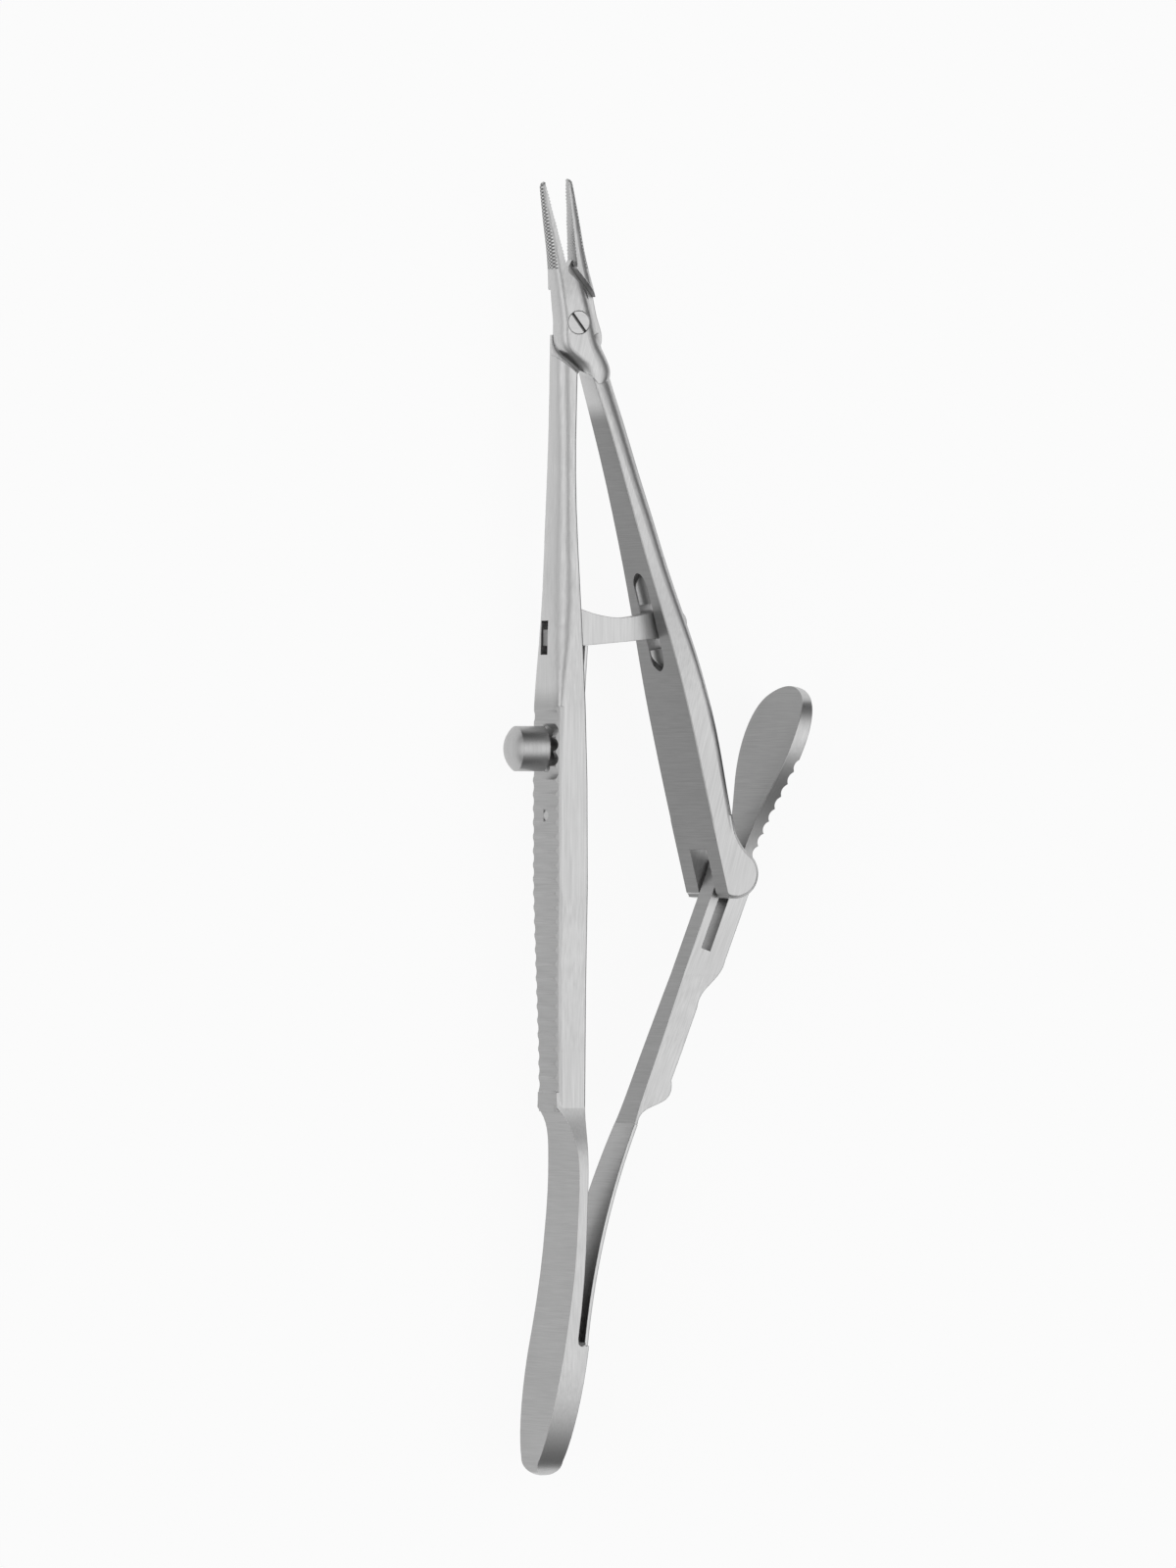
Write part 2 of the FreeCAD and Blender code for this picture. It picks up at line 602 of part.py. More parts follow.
def jaw_arm():
    """The crossing arm, drawn open: shank and fork on its own line, lap and jaw from the closed pose."""
    shank = joined([lofted_arm(ARM_SECTIONS, 1), ears()])
    shank = shank.cut(fork_slot()).cut(window())
    shank = turned(shank, ARM_LEAN - OPEN_ANGLE)
    lower = [mirrored_point(p) for p in LOWER_SHOULDER]
    upper = [mirrored_point(p) for p in UPPER_SHOULDER]
    shank = shank.cut(shoulder_cut(lower, True, -10, LAP_GAP / 2))
    blade = on_closed_jaw_arm(jaw()).cut(shoulder_cut(upper, False, -10, LAP_GAP / 2))
    plate = on_closed_jaw_arm(lap_body()).common(lap_room(closed_place, LAP_GAP / 2, 2 * LAP_HALF))
    arm = joined([shank, plate, blade])
    arm = arm.cut(Part.makeCylinder(SCREW_HEAD_R + RUN_FIT, 10, at(0, 0, -5), Z_AXIS))
    arm = turned(arm, OPEN_ANGLE)
    return arm.cut(Part.makeCylinder(PIN_R, 2 * EAR_HALF, at(PIN_AT[0], PIN_AT[1], -EAR_HALF - 1), Z_AXIS))


def pivot_screw():
    """Slotted shoulder screw, its head level with the joint's upper side."""
    head = Part.makeCylinder(SCREW_HEAD_R, LAP_HALF - LAP_GAP / 2, at(0, 0, 0), Z_AXIS)
    stem = Part.makeCylinder(SCREW_STEM_R, LAP_HALF, at(0, 0, -LAP_HALF), Z_AXIS)
    floor = LAP_HALF - LAP_GAP / 2 - SCREW_SLOT_DEPTH
    slot = Part.makeBox(SCREW_SLOT_WIDTH, 6, 2, at(-SCREW_SLOT_WIDTH / 2, -3, floor))
    slot.rotate(Vec(0, 0, 0), Z_AXIS, SCREW_SLOT_TURN)
    return joined([head, stem]).cut(slot)


def fork_pin():
    """Pin that crosses the fork, pressed in from the lower ear."""
    return Part.makeCylinder(PIN_R, 2 * EAR_HALF - 1, at(PIN_AT[0], PIN_AT[1], -EAR_HALF), Z_AXIS)


# Spring leaf and lever

def leaf_edge(offset):
    """One side of the spring leaf, a shallow arc from the tail to the lever's foot."""
    root = at(LEAF_ROOT_X - LEAF_THICK / 2 + offset, LEAF_ROOT_Y)
    top = at(lever_edge(LEAF_TOP_Y) + LEAF_THICK / 2 + offset, LEAF_TOP_Y)
    mid = (root + top) * 0.5 + Vec(-LEAF_BOW, 0, 0)
    return root, mid, top


def lever_edge(y):
    """Inner edge of the lever at height y."""
    return LEVER_LINE[0] + (y - LEVER_LINE[1]) * math.tan(math.radians(LEVER_LEAN))


def spring_leaf():
    """Thin tapering leaf, one with the tail and the lever on the real instrument."""
    left = leaf_edge(-LEAF_THICK / 2)
    right = leaf_edge(LEAF_THICK / 2)
    face = Part.Face(Part.Wire([
        arc(*left), line(left[2], right[2]), arc(right[2], right[1], right[0]), line(right[0], left[0]),
    ]))
    blade = prism(face, -10, 10)
    low = at(0, LEAF_ROOT_Y - 1, LEAF_ROOT_HALF + 0.05)
    high = at(0, LEAF_TOP_Y + 1, LEAF_TOP_HALF - 0.08)
    mid = (low + high) * 0.5 - Vec(0, 0, LEAF_WAIST)
    low_2, mid_2, high_2 = [Vec(p.x, p.y, -p.z) for p in (low, mid, high)]
    return blade.common(across([arc(low, mid, high), line(high, high_2), arc(high_2, mid_2, low_2), line(low_2, low)]))


def lever_outline():
    """Side view of the lever: foot, slotted stretch with its shoulder, and the thumb paddle."""
    foot_left = at(lever_edge(LEAF_TOP_Y), LEAF_TOP_Y)
    foot_right = at(foot_left.x + LEAF_THICK, LEAF_TOP_Y)
    step = [foot_right] + [foot_left + at(*point) for point in LEVER_STEP]
    shoulder = [at(*point) for point in LEVER_SHOULDER]
    heel = [at(*point) for point in LEVER_HEEL]
    outer = heel[-1:] + [at(*point) for point in PADDLE_OUTER]
    inner = [at(*point) for point in PADDLE_INNER]
    neck = inner[-1:] + [at(*point) for point in LEVER_NECK] + [at(lever_edge(LEVER_NECK_END_Y), LEVER_NECK_END_Y)]
    edges = [
        line(foot_left, foot_right), spline(step), line(step[-1], shoulder[0]), spline(shoulder),
        line(shoulder[-1], heel[0]), spline(heel), spline(outer),
        arc(outer[-1], at(*PADDLE_TIP), inner[0]), spline(inner), spline(neck),
        line(neck[-1], foot_left),
    ]
    return Part.Face(Part.Wire(edges))


def lever_front():
    """Front view of the lever: a tapering foot, a parallel stretch and a leaf-shaped paddle."""
    length = LEVER_STRAIGHT_Y - LEAF_TOP_Y
    side = [at(0, LEAF_TOP_Y + share * length, half) for share, half in LEVER_FOOT_FRONT]
    side.append(at(0, LEVER_STRAIGHT_Y, LEVER_HALF))
    neck = at(0, PADDLE_START_Y, LEVER_HALF)
    paddle = [neck] + [at(0, y, half) for y, half in PADDLE_FRONT]
    top = at(0, PADDLE_TIP_Y, 0)

    def flip(points):
        return [Vec(p.x, p.y, -p.z) for p in points]

    return [
        spline(side), line(side[-1], neck), spline(paddle), arc(paddle[-1], top, flip(paddle)[-1]),
        spline(flip(paddle)), line(flip([neck])[0], flip(side)[-1]), spline(flip(side)),
        line(flip(side)[0], side[0]),
    ]


def lever_slot():
    """Straight slot in which the fork pin slides, along the lever's own line."""
    length = SLOT_ABOVE + SLOT_BELOW
    box = Part.makeBox(SLOT_WIDTH, length, 20, at(SLOT_SHIFT - SLOT_WIDTH / 2, -SLOT_BELOW, -10))
    box.rotate(Vec(0, 0, 0), Z_AXIS, -LEVER_LEAN)
    box.translate(at(PIN_AT[0], PIN_AT[1]))
    return box


def paddle_ribs():
    radius = (PADDLE_RIB_WIDTH ** 2 / 4 + PADDLE_RIB_DEPTH ** 2) / (2 * PADDLE_RIB_DEPTH)
    cutters = []
    for i in range(PADDLE_RIB_COUNT):
        y = PADDLE_RIB_FIRST_Y - i * PADDLE_RIB_PITCH
        x = PADDLE_RIB_X + (y - PADDLE_RIB_FIRST_Y) * PADDLE_RIB_SLOPE
        cutters.append(Part.makeCylinder(radius, 20, at(x - PADDLE_RIB_DEPTH + radius, y, -10), Z_AXIS))
    return Part.makeCompound(cutters)


def lever():
    body = prism(lever_outline(), -PADDLE_HALF - 1, PADDLE_HALF + 1)
    body = body.common(across(lever_front()))
    return body.cut(lever_slot()).cut(paddle_ribs())


# Catch

def catch_bar():
    """Cross bar with a hollow neck and a round nose, and a tenon through the frame arm."""
    nose = at(BAR_NOSE_X, BAR_ROOT_BOTTOM + BAR_NOSE_ABOVE)
    nose_top = nose + at(0, BAR_NOSE_R)
    nose_bottom = nose - at(0, BAR_NOSE_R)
    root_bottom = at(BAR_ROOT_X, BAR_ROOT_BOTTOM)
    top = [at(x, BAR_ROOT_BOTTOM + above) for x, above in BAR_TOP] + [nose_top]
    edges = [
        line(root_bottom, top[0]), spline(top),
        arc(nose_top, nose + at(BAR_NOSE_R, 0), nose_bottom), line(nose_bottom, root_bottom),
    ]
    bar = prism(Part.Face(Part.Wire(edges)), -BAR_HALF, BAR_HALF)
    tenon = Part.makeBox(BAR_ROOT_X - TENON_END_X + 0.3, TENON_HEIGHT, 2 * TENON_HALF,
                         at(TENON_END_X, BAR_ROOT_BOTTOM, -TENON_HALF))
    return joined([bar, tenon])


def catch_leaf():
    """Spring leaf that holds the cross bar: flat on its seat, then bowed away from the frame arm."""
    t = CATCH_LEAF_THICK
    top = BAR_ROOT_BOTTOM
    left = [at(SEAT_X, CATCH_LEAF_BEND), at(0.35, -49.5), at(0.68, -44.0), at(CATCH_LEAF_TOP_X, top)]
    right = [Vec(p.x + t, p.y, 0) for p in left]
    foot_left = at(SEAT_X, CATCH_LEAF_END)
    foot_right = at(SEAT_X + t, CATCH_LEAF_END)
    edges = [
        line(foot_left, left[0]), spline(left), line(left[-1], right[-1]), spline(right[::-1]),
        line(right[0], foot_right), line(foot_right, foot_left),
    ]
    leaf = prism(Part.Face(Part.Wire(edges)), -CATCH_LEAF_HALF, CATCH_LEAF_HALF)
    leaf = leaf.cut(Part.makeCylinder(LEAF_SCREW_R, 20, at(-10, LEAF_SCREW_Y), Vec(1, 0, 0)))
    return leaf.cut(Part.makeCylinder(BUTTON_TIP_R + RUN_FIT, 20, at(-10, BUTTON_Y), Vec(1, 0, 0)))


def leaf_screw():
    """Screw that clamps the leaf, its end level with the bottom of the grooves."""
    end = grip_face(LEAF_SCREW_Y) + RIB_DEPTH
    seat = SEAT_X + CATCH_LEAF_THICK
    stem = Part.makeCylinder(LEAF_SCREW_R, seat - end, at(end, LEAF_SCREW_Y), Vec(1, 0, 0))
    head = Part.makeCylinder(LEAF_SCREW_HEAD_R, LEAF_SCREW_HEAD, at(seat, LEAF_SCREW_Y), Vec(1, 0, 0))
    slot = Part.makeBox(2, 6, 0.35, at(seat + LEAF_SCREW_HEAD - 0.28, LEAF_SCREW_Y - 3, -0.175))
    return joined([stem, head]).cut(slot)


def button():
    """Domed push button whose stem is riveted to the catch leaf."""
    leaf_left = 0.235
    dome_r = (BUTTON_R ** 2 + BUTTON_DOME ** 2) / (2 * BUTTON_DOME)
    cap = Part.makeCylinder(BUTTON_R, BUTTON_BASE_X - BUTTON_RIM_X, at(BUTTON_RIM_X, BUTTON_Y), Vec(1, 0, 0))
    ball = Part.makeSphere(dome_r, at(BUTTON_RIM_X - BUTTON_DOME + dome_r, BUTTON_Y))
    room = Part.makeBox(BUTTON_DOME + 1, 20, 20, at(BUTTON_RIM_X - BUTTON_DOME - 1, BUTTON_Y - 10, -10))
    reach = leaf_left - BUTTON_BASE_X - 0.06
    stem = Part.makeCylinder(BUTTON_STEM_R, reach, at(BUTTON_BASE_X, BUTTON_Y), Vec(1, 0, 0))
    tip = Part.makeCylinder(BUTTON_TIP_R, 1.0, at(leaf_left - 0.3, BUTTON_Y), Vec(1, 0, 0))
    rivet = Part.makeCylinder(BUTTON_RIVET_R, BUTTON_RIVET, at(leaf_left + 0.6, BUTTON_Y), Vec(1, 0, 0))
    return joined([cap, ball.common(room), stem, tip, rivet])


PIECES = {
    "frame_arm": frame_arm,
    "jaw_arm": jaw_arm,
    "pivot_screw": pivot_screw,
    "fork_pin": fork_pin,
    "spring_leaf": spring_leaf,
    "lever": lever,
    "catch_bar": catch_bar,
    "catch_leaf": catch_leaf,
    "leaf_screw": leaf_screw,
    "release_button": button,
}


def build():
    """All pieces, moved so that the bottom centre of the whole is the origin."""
    pieces = {name: make() for name, make in PIECES.items()}
    box = Part.makeCompound(list(pieces.values())).optimalBoundingBox(False, False)
    shift = Vec(-box.Center.x, -box.Center.y, -box.ZMin)
    for shape in pieces.values():
        shape.translate(shift)
    return pieces, shift, box


def main():
    os.makedirs("parts", exist_ok=True)
    pieces, shift, box = build()
    for name, shape in pieces.items():
        shape.exportStep("parts/" + name + ".step")
        print(name, len(shape.Solids), "solids, volume", round(shape.Volume, 2), shape.isValid())
    print("pivot at", round(shift.x, 4), round(shift.y, 4), round(shift.z, 4))
    print("overall", round(box.XLength, 2), round(box.YLength, 2), round(box.ZLength, 2))


if __name__ == "__main__":
    main()
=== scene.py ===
import math

import bpy
import numpy as np
from bpy.props import FloatProperty, PointerProperty, StringProperty
from mathutils import Matrix, Vector


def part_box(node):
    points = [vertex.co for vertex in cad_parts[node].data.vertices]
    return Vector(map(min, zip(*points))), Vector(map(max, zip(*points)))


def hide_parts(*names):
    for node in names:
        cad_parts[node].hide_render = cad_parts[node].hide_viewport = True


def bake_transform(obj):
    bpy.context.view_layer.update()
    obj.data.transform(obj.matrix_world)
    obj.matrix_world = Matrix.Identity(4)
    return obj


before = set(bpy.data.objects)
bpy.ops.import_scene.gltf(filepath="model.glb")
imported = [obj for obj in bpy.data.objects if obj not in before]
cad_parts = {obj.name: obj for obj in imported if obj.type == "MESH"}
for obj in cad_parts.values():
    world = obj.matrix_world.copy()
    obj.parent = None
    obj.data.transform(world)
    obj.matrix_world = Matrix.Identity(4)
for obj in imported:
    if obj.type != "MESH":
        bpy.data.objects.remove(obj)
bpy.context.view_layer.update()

bl_info = {
    "name": "Surgical Needle Holder",
    "version": (1, 0, 0),
    "blender": (4, 5, 0),
    "location": "View3D > Sidebar > Needle Holder",
    "description": "Finishes a needle holder in satin steel, with its spring leaves and studio",
    "category": "Object",
}

MM = 0.001

# Places in the drawing's own lines: the pivot is its origin, and z = 0 the plane in which the arms swing
SCREW_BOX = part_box("pivot_screw")
LEVER_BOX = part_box("lever")
PIVOT = Vector((
    (SCREW_BOX[0].x + SCREW_BOX[1].x) / 2,
    (SCREW_BOX[0].y + SCREW_BOX[1].y) / 2,
    (LEVER_BOX[0].z + LEVER_BOX[1].z) / 2,
))


def spot(x, y, z=0.0):
    """A point of the object's frame, in metres, from millimetres counted from the pivot."""
    return PIVOT + Vector((x, y, z)) * MM


# The photograph's view
VIEW_TURN = math.radians(23.0)      # the camera stands this far to the frame arm's side
PHOTO_SCALE = 8.26                  # pixels to a millimetre in a picture 1200 by 1600
PHOTO_SIZE = (1200, 1600)
PIVOT_PIXEL = (583.5, 329.5)

# Light of the room by direction: degrees from straight up towards the lever, share of full strength
ROOM_LIGHT = (
    (-180, 0.4), (-100, 0.4), (-78, 0.5), (-52, 1.0), (-38, 0.9), (-22, 0.12), (-4, 0.75),
    (22, 0.8), (42, 0.45), (62, 0.15), (84, 0.12), (110, 0.35), (180, 0.4),
)

# Heights in millimetres from the pivot: broad faces, ground across and painted darker as shade, lie below the
# first two, and teeth above the third
FRAME_BROAD_TOP, JAW_ARM_BROAD_TOP = -46.0, -11.0
TOOTH_START_Y = 6.6
# The notches between the teeth, in millimetres and degrees: pitch, slant, and a height between two notches
TOOTH_PITCH, TOOTH_SLANT, TOOTH_ZERO_Y = 0.42, 32.0, 4.38
FRAME_JAW_LEAN, JAW_ARM_JAW_LEAN = 4.0, 13.3

# The stage, in metres
FLOOR_HALF = 4.0
TOP_LIGHT_PLACE = (0.22, 0.0, 0.75)
TOP_LIGHT_SIZE = (0.9, 1.1)

# Leans of the pieces' own long lines from the +Y axis, in degrees
ARM_LEAN = 14.1
LEVER_LEAN = 21.0


def linear(hex_colour):
    """The linear colour of an sRGB hex value, with alpha 1."""
    parts = [int(hex_colour[i:i + 2], 16) / 255 for i in (1, 3, 5)]
    return tuple(p / 12.92 if p <= 0.04045 else ((p + 0.055) / 1.055) ** 2.4 for p in parts) + (1.0,)


class SteelSettings(bpy.types.PropertyGroup):
    side_colour: StringProperty(
        name="Flat sides",
        description="Colour of the sides that lie in the plane of the arms",
        default="#c6c6c6")
    # The colours of the broad faces, grip, lever and leaves are darker than the sides' and the leaf edges'.
    # This darkness is painted shade; grinding across gives these faces only their lines.
    shaded_broad_colour: StringProperty(
        name="Jaw arm's broad faces",
        description="Colour of the jaw arm's faces ground across",
        default="#808080")
    shaded_grip_colour: StringProperty(
        name="Grip", description="Colour of the frame arm's ribs and palm", default="#a6a6a6")
    shaded_lever_colour: StringProperty(
        name="Lever's broad faces",
        description="Colour of the lever's faces ground across",
        default="#909090")
    shaded_leaf_colour: StringProperty(
        name="Leaves", description="Colour of the spring leaves", default="#a2a2a2")
    leaf_edge_colour: StringProperty(
        name="Leaf edges", description="Colour of the leaves' narrow edges", default="#cfcfcf")
    turned_colour: StringProperty(
        name="Turned parts", description="Colour of the button's front and the screws", default="#b8b8b8")
    button_side_colour: StringProperty(
        name="Button's side", description="Colour of the button's round side", default="#bcbcbc")
    bar_colour: StringProperty(
        name="Cross bar", description="Colour of the cross bar", default="#c8c8c8")
    # Painted shade deep in teeth and ribs, and how far a groove reaches
    groove_shade: FloatProperty(
        name="Groove shade",
        description="Share of the colour left deep in teeth and ribs",
        default=0.4, min=0.0, max=1.0)
    groove_reach: FloatProperty(
        name="Groove reach", description="Distance within which a groove counts as deep", default=0.7 * MM,
        unit="LENGTH")
    roughness: FloatProperty(
        name="Roughness", description="Roughness of the satin steel", default=0.36, min=0.0, max=1.0)
    line_spacing: FloatProperty(
        name="Line spacing", description="Distance between brushing lines", default=0.11 * MM, unit="LENGTH")
    line_length: FloatProperty(
        name="Line length", description="Length of a brushing line", default=7.0 * MM, unit="LENGTH")
    edge_round: FloatProperty(
        name="Edge rounding",
        description="Radius of the polish along the edges",
        default=0.12 * MM, unit="LENGTH")


class LeafSettings(bpy.types.PropertyGroup):
    spring_thickness: FloatProperty(
        name="Spring leaf", description="Thickness of the handle's leaf", default=0.46 * MM, unit="LENGTH")
    catch_thickness: FloatProperty(
        name="Catch leaf", description="Thickness of the catch's leaf", default=0.45 * MM, unit="LENGTH")
    edge_round: FloatProperty(
        name="Edge", description="Radius of the leaves' long edges", default=0.08 * MM, unit="LENGTH")


class StageSettings(bpy.types.PropertyGroup):
    lens: FloatProperty(
        name="Lens", description="Focal length of the camera in millimetres", default=400.0)
    floor_colour: StringProperty(
        name="Floor", description="Colour of the floor", default="#f4f4f4")
    floor_glow: FloatProperty(
        name="Floor glow",
        description="Share of plain white in the floor as it is seen",
        default=0.92, min=0.0, max=1.0)
    room_strength: FloatProperty(
        name="Room", description="Strength of the room's light where it is full", default=1.5)
    top_power: FloatProperty(
        name="Top light", description="Power of the large light above", default=0.6, unit="POWER")


def settings(name):
    return getattr(bpy.context.scene, "needle_holder_" + name)


# Meshes

def grid_mesh(name, points):
    """A mesh on a grid of points, rows by columns: neighbours are joined, the columns close on
    themselves, and the first and last rows are capped with fans about their middles."""
    rows, columns = points.shape[:2]
    body = points.reshape(-1, 3)
    row, column = np.meshgrid(np.arange(rows - 1), np.arange(columns), indexing="ij")
    after = (column + 1) % columns
    quads = np.stack([row * columns + column, row * columns + after,
                      (row + 1) * columns + after, (row + 1) * columns + column], -1).reshape(-1, 4)
    caps = np.stack([points[0].mean(0), points[-1].mean(0)])
    first = np.arange(columns)
    second = (first + 1) % columns
    low_fan = np.stack([second, first, np.full(columns, len(body))], -1)
    last = (rows - 1) * columns
    high_fan = np.stack([last + first, last + second, np.full(columns, len(body) + 1)], -1)
    mesh = bpy.data.meshes.new(name)
    faces = quads.tolist() + low_fan.tolist() + high_fan.tolist()
    mesh.from_pydata(np.vstack([body, caps]).tolist(), [], faces)
    mesh.update()
    piece = bpy.data.objects.new(name, mesh)
    bpy.context.scene.collection.objects.link(piece)
    return piece


def smooth_within(piece, degrees):
    """Shades the piece smooth, apart from edges that turn more than the angle."""
    mesh = piece.data
    mesh.shade_smooth()
    mesh.set_sharp_from_angle(angle=math.radians(degrees))


def rounded_bar(half_thickness, half_width, radius, steps=4):
    """A closed section in (across, width): a rectangle whose corners are quarter circles,
    centre + radius (cos a, sin a) with a in equal steps through each quarter."""
    a = np.linspace(0, math.pi / 2, steps + 1)
    section = []
    for k, (sx, sz) in enumerate([(1, 1), (-1, 1), (-1, -1), (1, -1)]):
        turn = a + k * math.pi / 2
        cx = sx * (half_thickness - radius)
        cz = sz * (half_width - radius)
        section.append(np.stack([cx + radius * np.cos(turn), cz + radius * np.sin(turn)], -1))
    return np.vstack(section)


def leaf_blade(name, centre_line, half_widths, thickness, radius):
    """A leaf swept along its centre line in the x-y plane: the point at row i and section point j is
    line(i) + across(i) * normal(i), raised in z by the section's own width scaled to half_widths(i)."""
    tangent = np.gradient(centre_line, axis=0)
    tangent /= np.linalg.norm(tangent, axis=1, keepdims=True)
    normal = np.stack([tangent[:, 1], -tangent[:, 0]], -1)
    rows = []
    for centre, across, half in zip(centre_line, normal, half_widths):
        section = rounded_bar(thickness / 2, half, radius)
        flat = centre + section[:, :1] * across
        rows.append(np.column_stack([flat, section[:, 1]]))
    points = np.array(rows) * MM + np.array(PIVOT)
    piece = grid_mesh(name, points)
    smooth_within(piece, 40)
    return piece


def arc_through(a, b, c, count):
    """Points along the circle through a, b and c: its centre is where the bisectors of ab and bc meet,
    and the angle runs evenly from a to c."""
    a, b, c = (np.array(p, float) for p in (a, b, c))
    rows = 2 * np.array([b - a, c - b])
    sums = np.array([b @ b - a @ a, c @ c - b @ b])
    centre = np.linalg.solve(rows, sums)
    radius = np.linalg.norm(a - centre)
    start = math.atan2(*(a - centre)[::-1])
    end = math.atan2(*(c - centre)[::-1])
    sweep = (end - start + math.pi) % (2 * math.pi) - math.pi
    angle = start + sweep * np.linspace(0, 1, count)
    return centre + radius * np.stack([np.cos(angle), np.sin(angle)], -1)


def smooth_curve(knots, count):
    """Points on a curve through the knots: a natural parameter grows with the chords, and each
    coordinate is a polynomial of it with one degree less than the number of knots."""
    knots = np.array(knots, float)
    chord = np.concatenate([[0], np.cumsum(np.linalg.norm(np.diff(knots, axis=0), axis=1))])
    t = chord / chord[-1]
    at = np.linspace(0, 1, count)
    return np.stack([np.polyval(np.polyfit(t, knots[:, k], len(knots) - 1), at) for k in range(2)], -1)


# Materials

def add(tree, kind, inputs=None, **values):
    """One node with its settings. An input is a plain value, or the socket that feeds it."""
    node = tree.nodes.new(kind)
    for name, value in values.items():
        setattr(node, name, value)
    for key, value in (inputs or {}).items():
        if isinstance(value, bpy.types.NodeSocket):
            tree.links.new(value, node.inputs[key])
        else:
            node.inputs[key].default_value = value
    return node


def new_material(name):
    material = bpy.data.materials.new(name)
    material.use_nodes = True
    material.node_tree.nodes.clear()
    return material, material.node_tree


def line_noise(tree, place, spacing, length, run):
    """Noise drawn out along one axis: fine over the spacing, and slow over the line's length."""
    stretch = [1 / spacing] * 3
    stretch["xyz".index(run)] = 1 / length
    scaled = add(tree, "ShaderNodeVectorMath", {0: place, 1: stretch}, operation="MULTIPLY")
    return add(tree, "ShaderNodeTexNoise", {"Vector": scaled.outputs[0], "Scale": 1.0, "Detail": 3.0,
                                            "Roughness": 0.65}).outputs["Fac"]


def above(tree, height, level, blur=1.5):
    """1 where the height is over the level, in millimetres from the pivot, and 0 below it, with a
    soft step."""
    low, high = spot(0, level - blur).y, spot(0, level + blur).y
    return add(tree, "ShaderNodeMapRange", {"Value": height, "From Min": low, "From Max": high},
               interpolation_type="SMOOTHSTEP").outputs["Result"]


def tooth_shade(tree, source, height, lean, side):
    """The share of colour left between the teeth, which is painted shade in the notches. Along a jaw that
    leans by the angle, each set of notches repeats with the pitch at along - across * tan(slant), and is
    darkest half a pitch from its zero. The face that looks to +X has it where side is 1, and the one to -X
    where it is -1."""
    a = math.radians(lean)
    place = add(tree, "ShaderNodeVectorMath", {0: source.outputs["Object"], 1: PIVOT},
                operation="SUBTRACT").outputs[0]
    shades = []
    for slant in (TOOTH_SLANT, -TOOTH_SLANT):
        run = (-math.sin(a), math.cos(a), math.tan(math.radians(slant)))
        along = add(tree, "ShaderNodeVectorMath", {0: place, 1: run},
                    operation="DOT_PRODUCT").outputs["Value"]
        turns = add(tree, "ShaderNodeMath", {0: along, 1: 1 / (TOOTH_PITCH * MM),
                                             2: -TOOTH_ZERO_Y / TOOTH_PITCH},
                    operation="MULTIPLY_ADD").outputs[0]
        wave = add(tree, "ShaderNodeMath", {0: turns, 1: 0.5}, operation="PINGPONG").outputs[0]
        shades.append(add(tree, "ShaderNodeMapRange", {"Value": wave, "From Min": 0.12, "From Max": 0.48,
                                                       "To Min": 1.1, "To Max": 0.3}).outputs["Result"])
    both = add(tree, "ShaderNodeMath", {0: shades[0], 1: shades[1]}, operation="MULTIPLY").outputs[0]
    inward = (side * math.cos(a), side * math.sin(a), 0)
    facing = add(tree, "ShaderNodeVectorMath", {0: source.outputs["Normal"], 1: inward},
                 operation="DOT_PRODUCT")
    face = add(tree, "ShaderNodeMapRange", {"Value": facing.outputs["Value"],
                                            "From Min": 0.4, "From Max": 0.6},
               interpolation_type="SMOOTHSTEP").outputs["Result"]
    mask = add(tree, "ShaderNodeMath", {0: face, 1: above(tree, height, TOOTH_START_Y, 0.1)},
               operation="MULTIPLY").outputs[0]
    return add(tree, "ShaderNodeMix", {"Factor": mask, "A": 1.0, "B": both}).outputs["Result"]


